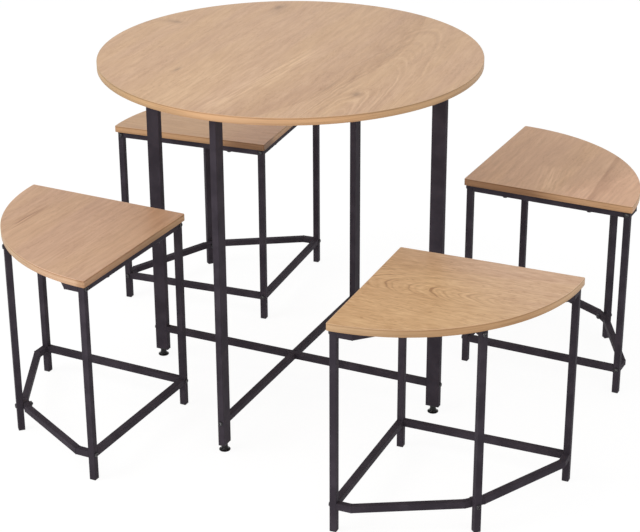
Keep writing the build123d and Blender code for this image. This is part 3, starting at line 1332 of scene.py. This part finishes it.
        finishes.dress_node(self.node("seat_board"), self.decor.material())
        edge = OakBanding(
            self.node("banding"), (self.place.x, self.place.y), self.place.turn, self.seat_height,
            self.painted_edge_light, tone=self.edge_tone,
        )
        finishes.dress_node(self.node("seat_edge_band"), edge.material())
        for piece in ("side_frame", "end_frame", "upper_arc_rail", "lower_arc_rail", "middle_leg"):
            finishes.dress_node(self.node(piece), finishes.of(Slot.BLACK_STEEL))
        finishes.dress_node(self.node("leg_plugs"), finishes.of(Slot.BLACK_PLASTIC))
        finishes.dress_node(self.node("frame_nuts"), finishes.of(Slot.ZINC_STEEL))
        counts = (len(self.seam_places()), len(ends + middles), len(self.screw_places()))
        log.info("stool %s: seat, frame, %d weld seams, %d bolts and %d screws", self.name, *counts)


@dataclass
class Table:
    """The round table: its top, two crosses, four legs and four levelling feet."""

    place: Place
    decor: OakDecor
    edge_tone: Colour = (0.575, 0.338, 0.176)
    # Painted light and shade on the table's banding: darker to the left, a little cooler to the right.
    painted_edge_light: tuple[PaintedEdgeLight, ...] = (
        PaintedEdgeLight(-4.3, -2.0, -0.7, (0.76, 0.82, 0.78)),
        PaintedEdgeLight(4.5, 2.1, -0.3, (0.93, 1.00, 1.03)),
    )
    stock: Stock = field(default_factory=Stock)
    height: float = 0.765
    leg_depth: float = 0.030
    leg_circle: float = 0.334
    leg_lift: float = 0.016
    brace_height: float = 0.0685
    pad_radius: float = 0.012
    rim: float = 0.003
    neck_radius: float = 0.0065
    neck_height: float = 0.003
    neck_corner: float = 0.0004
    flare_steps: int = 8
    stud: float = 0.021
    screw_shares: tuple[float, float] = (0.3, 0.8)
    screw_turn: float = 0.5
    arms: dict[str, float] = field(
        default_factory=lambda: {"left": 180.0, "front": -90.0, "right": 0.0, "back": 90.0}
    )

    def __post_init__(self) -> None:
        """Works out the crosses' levels and the legs' faces."""
        self.levels = (self.brace_height, self.height - self.stock.board - self.stock.half)
        self.inner = self.leg_circle - self.leg_depth / 2
        self.outer = self.leg_circle + self.leg_depth / 2

    def seam_places(self) -> list[Matrix]:
        """Where the half tubes of the crosses are welded to the long ones."""
        return [
            standing((0.0, side * self.stock.half, level), (0.0, side, 0.0))
            for level in self.levels for side in (-1.0, 1.0)
        ]

    def bolt_places(self) -> list[Matrix]:
        """Where the bolts go through the legs into the crosses."""
        return [
            turned(turn) @ standing((self.outer, 0.0, level), (-1.0, 0.0, 0.0), roll=13.0 + 23.0 * number)
            for number, turn in enumerate(self.arms.values()) for level in self.levels
        ]

    def screw_places(self) -> list[Matrix]:
        """Where the screws go up into the table top.

        Returns:
            The places of the screws, two under each arm.
        """
        bottom = self.height - self.stock.board - self.stock.tube
        spin = Matrix.Rotation(self.screw_turn, 4, "Z")
        return [
            turned(turn) @ Matrix.Translation((share * self.inner, 0.0, bottom)) @ spin
            for turn in self.arms.values() for share in self.screw_shares
        ]

    def foot_model(self) -> bpy.types.Object:
        """Models a levelling foot: a moulded pad whose neck flares down to it, and a threaded stud.

        Returns:
            The foot on the Z axis.
        """
        stock = self.stock
        Workshop.deselect()
        bpy.ops.mesh.primitive_plane_add(size=1.0)
        foot = bpy.context.active_object
        Workshop.open_all(foot)
        bpy.ops.mesh.merge(type="CENTER")
        bpy.ops.mesh.select_mode(type="VERT")
        bpy.ops.mesh.select_all(action="SELECT")
        spots = self.foot_outline()
        for (r0, z0), (r1, z1) in zip([(0.0, 0.0)] + spots, spots):
            bpy.ops.mesh.extrude_region_move(TRANSFORM_OT_translate={"value": (r1 - r0, 0.0, z1 - z0)})
        bpy.ops.mesh.select_all(action="SELECT")
        bpy.ops.mesh.spin(steps=48, angle=math.tau, center=(0.0, 0.0, 0.0), axis=(0.0, 0.0, 1.0))
        Workshop.outward(foot)
        low, high = self.leg_lift, self.leg_lift + self.stud
        turns = int(self.stud / stock.pitch) - 1
        pieces = [
            foot,
            Workshop.thread(stock.bolt_radius, stock.thread_depth, stock.pitch, turns, low + stock.overlap),
            Workshop.cylinder(stock.core_radius, low - 0.0005, high, SHANK_SIDES),
        ]
        model = Workshop.join(pieces, "levelling_foot")
        Workshop.smooth(model, 40.0)
        return model

    def foot_outline(self) -> list[tuple[float, float]]:
        """The foot's half outline.

        Returns:
            Radii and heights, from the base round the pad's rim and up the flared neck to its middle.
        """
        pad, rim, neck, top = self.pad_radius, self.rim, self.neck_radius, self.leg_lift
        face = pad - rim / 2
        spots = [(face, 0.0), (pad - rim / 6, rim / 8), (pad, rim / 3), (pad, rim * 2 / 3)]
        spots += [(pad - rim / 6, rim * 0.9), (face, rim)]
        rise = top - self.neck_height - rim
        for step in range(1, self.flare_steps + 1):
            angle = math.pi / 2 * step / self.flare_steps
            radius = neck + (face - neck) * (1 - math.sin(angle))
            spots.append((radius, rim + rise * (1 - math.cos(angle))))
        return spots + [(neck, top - self.neck_corner), (neck - self.neck_corner, top), (0.0, top)]

    def build(self, seams: WeldSeams, fasteners: Fasteners, finishes: "Finishes") -> None:
        """Models the table's own pieces and dresses all of it.

        Args:
            seams: the weld seams.
            fasteners: the models of bolts and screws.
            finishes: the finishes that the set shares.
        """
        moved = self.place.moved
        welds = seams.at(moved(self.seam_places()), "table_weld_seams")
        finishes.dress(welds, Slot.BLACK_STEEL)
        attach(welds, "table")

        bolt = fasteners.button_bolt(self.leg_depth + self.stock.insert, glint_share=1.0)
        bolts = Workshop.copies(bolt, moved(self.bolt_places()), "table_button_bolts")
        finishes.dress(bolts, Slot.BLACK_BOLT)
        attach(bolts, "table")
        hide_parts("table_cross_bolts")

        screws = Workshop.copies(fasteners.pan_screw(), moved(self.screw_places()), "table_pan_screws")
        finishes.dress(screws, Slot.BLACK_BOLT)
        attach(screws, "table")
        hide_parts("tabletop_screws")

        foot = self.foot_model()
        for side, turn in self.arms.items():
            place = self.place.matrix() @ turned(turn) @ Matrix.Translation((self.leg_circle, 0.0, 0.0))
            piece = Workshop.copies(foot, [place], "foot_" + side, keep_model=True)
            finishes.dress(piece, Slot.FOOT_PLASTIC)
            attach(piece, "levelling_foot_" + side)
            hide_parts("levelling_foot_" + side)
        bpy.data.objects.remove(foot)

        finishes.dress_node("tabletop", self.decor.material())
        edge = OakBanding(
            "table_banding", (self.place.x, self.place.y), 0.0, self.height, self.painted_edge_light,
            tone=self.edge_tone, dark_tone=(0.33, 0.170, 0.080),
        )
        finishes.dress_node("tabletop_edge_band", edge.material())
        for piece in ("table_upper_cross", "table_lower_cross"):
            finishes.dress_node(piece, finishes.of(Slot.BLACK_STEEL))
        for side in self.arms:
            finishes.dress_node("table_leg_" + side, finishes.of(Slot.BLACK_STEEL))
        finishes.dress_node("table_leg_plugs", finishes.of(Slot.BLACK_PLASTIC))
        finishes.dress_node("table_cross_nuts", finishes.of(Slot.ZINC_STEEL))
        counts = (len(self.arms), len(self.bolt_places()), len(self.screw_places()))
        log.info("table: top, 2 crosses, %d legs on levelling feet, %d bolts and %d screws", *counts)


class Finishes:
    """The finishes that the set shares, each made once."""

    def __init__(self) -> None:
        """Makes the materials."""
        self.made = {
            Slot.BLACK_STEEL: PowderCoat().material(),
            Slot.BLACK_BOLT: BlackOxide().material(),
            Slot.ZINC_STEEL: ZincPlate().material(),
            Slot.BLACK_PLASTIC: MouldedPlastic("plug_plastic").material(),
            Slot.FOOT_PLASTIC: MouldedPlastic(
                "foot_plastic", (0.004, 0.0035, 0.004), roughness=0.12, grain=0.00001, specular=0.26
            ).material(),
        }

    def of(self, slot: Slot) -> bpy.types.Material:
        """The material of a slot."""
        return self.made[slot]

    def dress(self, piece: bpy.types.Object, slot: Slot) -> None:
        """Gives a new piece the material of a slot.

        Args:
            piece: the piece.
            slot: the slot.
        """
        piece.data.materials.clear()
        piece.data.materials.append(self.of(slot))

    @staticmethod
    def dress_node(name: str, material: bpy.types.Material) -> None:
        """Gives a CAD node a material.

        Args:
            name: the node's name.
            material: the material.
        """
        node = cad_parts[name]
        if not node.material_slots:
            node.data.materials.append(material)
        for slot in node.material_slots:
            slot.material = material


# Studio


@dataclass(frozen=True)
class Lamp:
    """A square soft lamp, which the camera doesn't see."""

    name: str
    place: Point
    size: float
    power: float

    def hang(self, aim: Point) -> None:
        """Adds the lamp.

        Args:
            aim: the point that it faces.
        """
        data = bpy.data.lights.new(self.name, "AREA")
        data.shape = "SQUARE"
        data.size = self.size
        data.energy = self.power
        lamp = bpy.data.objects.new(self.name, data)
        bpy.context.scene.collection.objects.link(lamp)
        lamp.location = self.place
        lamp.rotation_euler = (Vector(aim) - lamp.location).to_track_quat("-Z", "Y").to_euler()
        lamp.visible_camera = False


@dataclass
class Studio:
    """The pale floor, the soft light and the camera."""

    target: Point = (0.05636, -0.14927, 0.350)
    distance: float = 3.81767
    azimuth: float = 24.99
    elevation: float = 24.02
    roll: float = -0.22
    lens: float = 102.79
    floor_size: float = 60.0
    floor_grey: float = 0.86
    white_share: float = 0.86
    white_strength: float = 1.055
    sky_strength: float = 0.74
    lamp_aim: Point = (0.0, 0.0, 0.4)
    lamps: tuple[Lamp, ...] = (
        Lamp("key_lamp", (-2.6, -2.4, 3.2), 2.6, 72.0),
        Lamp("fill_lamp", (3.0, -1.8, 2.4), 2.4, 16.0),
        Lamp("front_lamp", (-0.1, -2.1, 0.40), 0.9, 6.5),
    )

    def build(self) -> None:
        """Sets up everything round the object."""
        self.floor()
        self.sky()
        for lamp in self.lamps:
            lamp.hang(self.lamp_aim)
        self.camera()
        log.info("studio: floor, sky, %d lamps and camera", len(self.lamps))

    def floor(self) -> None:
        """Adds the plain pale floor, which looks white and keeps a soft shadow."""
        Workshop.deselect()
        bpy.ops.mesh.primitive_plane_add(size=self.floor_size)
        floor = bpy.context.active_object
        floor.name = "studio_floor"
        bench = Bench("pale_floor")
        seen = bench.add("ShaderNodeLightPath", out="Is Camera Ray")
        seen = seen + bench.add("ShaderNodeLightPath", out="Is Glossy Ray")
        grey = (self.floor_grey, self.floor_grey, self.floor_grey, 1.0)
        plain = bench.add("ShaderNodeBsdfDiffuse", inputs={"Color": grey})
        white = bench.add("ShaderNodeEmission", inputs={"Color": WHITE, "Strength": self.white_strength})
        share = seen.between(0.0, 1.0) * self.white_share
        mixed = bench.add("ShaderNodeMixShader", inputs={0: share, 1: plain, 2: white})
        bench.add("ShaderNodeOutputMaterial", inputs={"Surface": mixed})
        floor.data.materials.append(bench.owner)

    def sky(self) -> None:
        """Lights the set evenly from all round, and shows white behind it."""
        bench = Bench("studio_sky", world=True)
        seen = bench.add("ShaderNodeLightPath", out="Is Camera Ray")
        soft = bench.add("ShaderNodeBackground", inputs={"Color": WHITE, "Strength": self.sky_strength})
        white = bench.add("ShaderNodeBackground", inputs={"Color": WHITE, "Strength": 1.0})
        mixed = bench.add("ShaderNodeMixShader", inputs={0: seen, 1: soft, 2: white})
        bench.add("ShaderNodeOutputWorld", inputs={"Surface": mixed})
        bpy.context.scene.world = bench.owner

    def camera(self) -> None:
        """Adds the camera at the photograph's viewing angle."""
        az, el, roll = (math.radians(angle) for angle in (self.azimuth, self.elevation, self.roll))
        back = Vector((math.sin(az) * math.cos(el), -math.cos(az) * math.cos(el), math.sin(el)))
        right = Vector((math.cos(az), math.sin(az), 0.0))
        up = back.cross(right)
        level = right * math.cos(roll) + up * math.sin(roll)
        upward = up * math.cos(roll) - right * math.sin(roll)
        data = bpy.data.cameras.new("studio_camera")
        data.lens = self.lens
        data.sensor_width = 36.0
        data.sensor_fit = "HORIZONTAL"
        data.clip_end = 100.0
        camera = bpy.data.objects.new("studio_camera", data)
        bpy.context.scene.collection.objects.link(camera)
        axes = Matrix((level, upward, back)).transposed().to_4x4()
        camera.matrix_world = Matrix.Translation(Vector(self.target) + back * self.distance) @ axes
        bpy.context.scene.camera = camera


# The set

TABLE_PLACE = (-0.060, -0.0395)
TABLE_RADIUS = 0.400


def stool_place(share_x: float, share_y: float, turn_share: float) -> Place:
    """Where a stool stands.

    Args:
        share_x: how far its corner is to the right of the table's middle, in shares of the table's radius.
        share_y: how far it is behind it.
        turn_share: its share of a full turn.

    Returns:
        The place.
    """
    x, y = TABLE_PLACE
    return Place(x + share_x * TABLE_RADIUS, y + share_y * TABLE_RADIUS, turn_share * 360.0)


def oak_for(name: str, place: Place, **settings: Any) -> OakDecor:
    """The oak decor of one seat, whose grain runs along the seat's own Y axis."""
    return OakDecor(name + "_oak", (place.x, place.y), place.turn + 90.0, **settings)


def table() -> Table:
    """The table, with its own decor.

    Returns:
        The table, not built yet.
    """
    decor = OakDecor(
        "table_oak", TABLE_PLACE, 90.0, crown=(-0.50, -0.255), crown_stretch=0.115,
        pale_strength=0.34, line_reach=0.135, tilt=0.06, drift=0.03, mottle=0.44, streak=0.22,
        tone=(0.602, 0.371, 0.217), line_tone=(0.44, 0.250, 0.138),
        zones=(
            Zone(-0.205, -0.125, 0.15, bow=0.52, bow_at=0.05),
            Zone(-0.030, -0.030, 0.05, slope=0.05),
            Zone(0.190, -0.030, 0.06, slope=-0.06),
        ),
        flashes=(
            Flash(-0.034, -0.44, 0.10, width=0.045, slope=-0.06, strength=0.24),
            Flash(0.070, -0.46, -0.06, width=0.16),
            Flash(-0.090, -0.36, 0.02, width=0.02, slope=0.04, strength=0.08),
            Flash(0.110, -0.30, 0.20, width=0.05, slope=0.10, strength=0.07),
        ),
        knots=(
            Knot(0.300, 0.172, 0.042, 0.018, 0.62), Knot(0.108, 0.335, 0.020, 0.045, 0.48),
            Knot(-0.182, -0.232, 0.030, 0.015, 0.66), Knot(-0.188, 0.163, 0.030, 0.008, 0.52),
            Knot(0.265, 0.158, 0.085, 0.032, 0.13), Knot(-0.160, -0.162, 0.070, 0.007, 0.30),
            Knot(0.095, -0.185, 0.090, 0.020, 0.16),
        ),
        shift=1.3,
    )
    return Table(Place(*TABLE_PLACE), decor)


def front_right_stool() -> Stool:
    """The front right stool, whose seat shows a crown.

    Returns:
        The stool, not built yet.
    """
    name, place = "front_right", stool_place(0.789, -0.386, -0.2458)
    decor = oak_for(
        name, place, crown=(0.36, -0.168), crown_stretch=0.27, crown_point=1.75, ring_scale=410.0,
        ring_order=0.50, line_strength=1.55, pale_strength=0.12, line_reach=0.15, line_fade=(0.29, 0.08),
        # The painted shading line paints shade and the reflection of the table's dark leg on the part of the
        # seat near the table.
        line_tone=(0.40, 0.215, 0.100), warm_line=(-3.2, -5.0, 0.6), drift=0.012, mottle=0.30,
        streak=0.22, thin=0.70, thin_scale=190.0, thin_run=30.0, fleck_strength=0.22, shift=3.1,
        zones=(Zone(-0.100, -0.11, 0.024, slope=0.166), Zone(-0.078, 0.03, 0.25, slope=0.166)),
    )
    # Painted light on the banding: two stretches of it are lighter.
    painted_lights = (
        PaintedEdgeLight(4.0, -4.0, -0.4, (1.03, 1.12, 1.21)),
        PaintedEdgeLight(-4.0, 4.0, -0.4, (1.16, 1.28, 1.46)),
    )
    return Stool(name, place, decor, (0.470, 0.278, 0.141), painted_lights)


def front_left_stool() -> Stool:
    """The front left stool, whose seat has a few dark streaks by its round edge.

    Returns:
        The stool, not built yet.
    """
    name, place = "front_left", stool_place(-0.407, -0.45, 0.495)
    decor = oak_for(
        name, place, crown=(0.9, -0.05), tone=(0.569, 0.345, 0.213), thin=0.46, mottle=0.30, shift=5.7,
        # The painted shading line paints the table's shade over the seat's corner by the table.
        warm_line=(-4.5, 4.5, 1.1), warm_tone=(0.545, 0.315, 0.176),
        zones=(Zone(-0.13, -0.03, 0.05),),
        flashes=(
            Flash(-0.10, 0.02, 0.40, width=0.09, strength=0.09),
            Flash(-0.288, 0.07, 0.27, width=0.018, strength=-0.45),
            Flash(-0.135, 0.02, 0.18, width=0.012, strength=-0.12),
        ),
    )
    # Painted light and shade on the banding: lighter stretches and a darker one.
    painted_lights = (
        PaintedEdgeLight(-4.0, 4.0, -0.2, (1.12, 1.09, 1.22)),
        PaintedEdgeLight(-60.0, 0.0, 1.5, (0.75, 0.68, 0.60)),
        PaintedEdgeLight(0.0, -12.0, 1.6, (1.27, 1.27, 1.32)),
    )
    return Stool(name, place, decor, (0.492, 0.326, 0.185), painted_lights)


def back_left_stool() -> Stool:
    """The back left stool, with a plain straight grain.

    Returns:
        The stool, not built yet.
    """
    name, place = "back_left", stool_place(-0.492, 0.649, 0.262)
    decor = oak_for(
        name, place, crown=(0.7, -0.10), tone=(0.536, 0.326, 0.187), streak=0.26, thin=0.50,
        # The painted shading line paints the table's shade over the part of the seat near its corner.
        thin_scale=140.0, thin_run=12.0, warm_line=(-8.0, 0.0, 1.4), warm_tone=(0.478, 0.278, 0.162),
        shift=8.2,
    )
    # Painted shadow of the table on a stretch of the banding.
    painted_lights = (PaintedEdgeLight(-20.0, -10.0, 1.6, (0.48, 0.44, 0.43)),)
    return Stool(name, place, decor, (0.498, 0.290, 0.150), painted_lights)


def back_right_stool() -> Stool:
    """The back right stool, whose seat has a dark line and paler boards beside it.

    Returns:
        The stool, not built yet.
    """
    name, place = "back_right", stool_place(0.745, 0.626, -0.0039)
    decor = oak_for(
        name, place, crown=(-0.9, -0.16), tone=(0.623, 0.366, 0.208), thin=0.42,
        # The painted shading line paints light on the seat's right part, away from the table's shade.
        warm_line=(-5.0, -10.0, -1.6), warm_tone=(0.690, 0.394, 0.232), shift=11.9,
        zones=(
            Zone(-0.2788, -0.20, 0.040, slope=0.078, side=-1.0), Zone(-0.2788, 0.07, 0.055, slope=0.078),
            Zone(-0.055, -0.04, 0.09), Zone(-0.165, 0.03, 0.05), Zone(-0.40, 0.12, 0.17),
        ),
        knots=(Knot(0.028, -0.092, 0.040, 0.012, 0.22),),
        flashes=(
            Flash(-0.19, 0.0, 0.17, width=0.06, slope=0.2, strength=0.20),
            Flash(-0.26, -0.06, 0.08, width=0.17, strength=0.16),
        ),
    )
    # Painted shadow of the table on a stretch of the banding.
    painted_lights = (PaintedEdgeLight(-10.0, -5.0, 2.4, (0.58, 0.53, 0.50)),)
    return Stool(name, place, decor, (0.593, 0.344, 0.182), painted_lights)


def main() -> None:
    """Builds and dresses the whole set, piece by piece."""
    logging.basicConfig(level=logging.INFO, format="%(message)s")
    stock = Stock()
    finishes = Finishes()
    seams = WeldSeams(stock)
    fasteners = Fasteners(stock)
    stools = (front_right_stool(), front_left_stool(), back_left_stool(), back_right_stool())
    for part in (table(), *stools):
        part.build(seams, fasteners, finishes)
    seams.put_away()
    Studio().build()
    bpy.context.scene.view_settings.view_transform = "Standard"


if __name__ == "__main__":
    main()
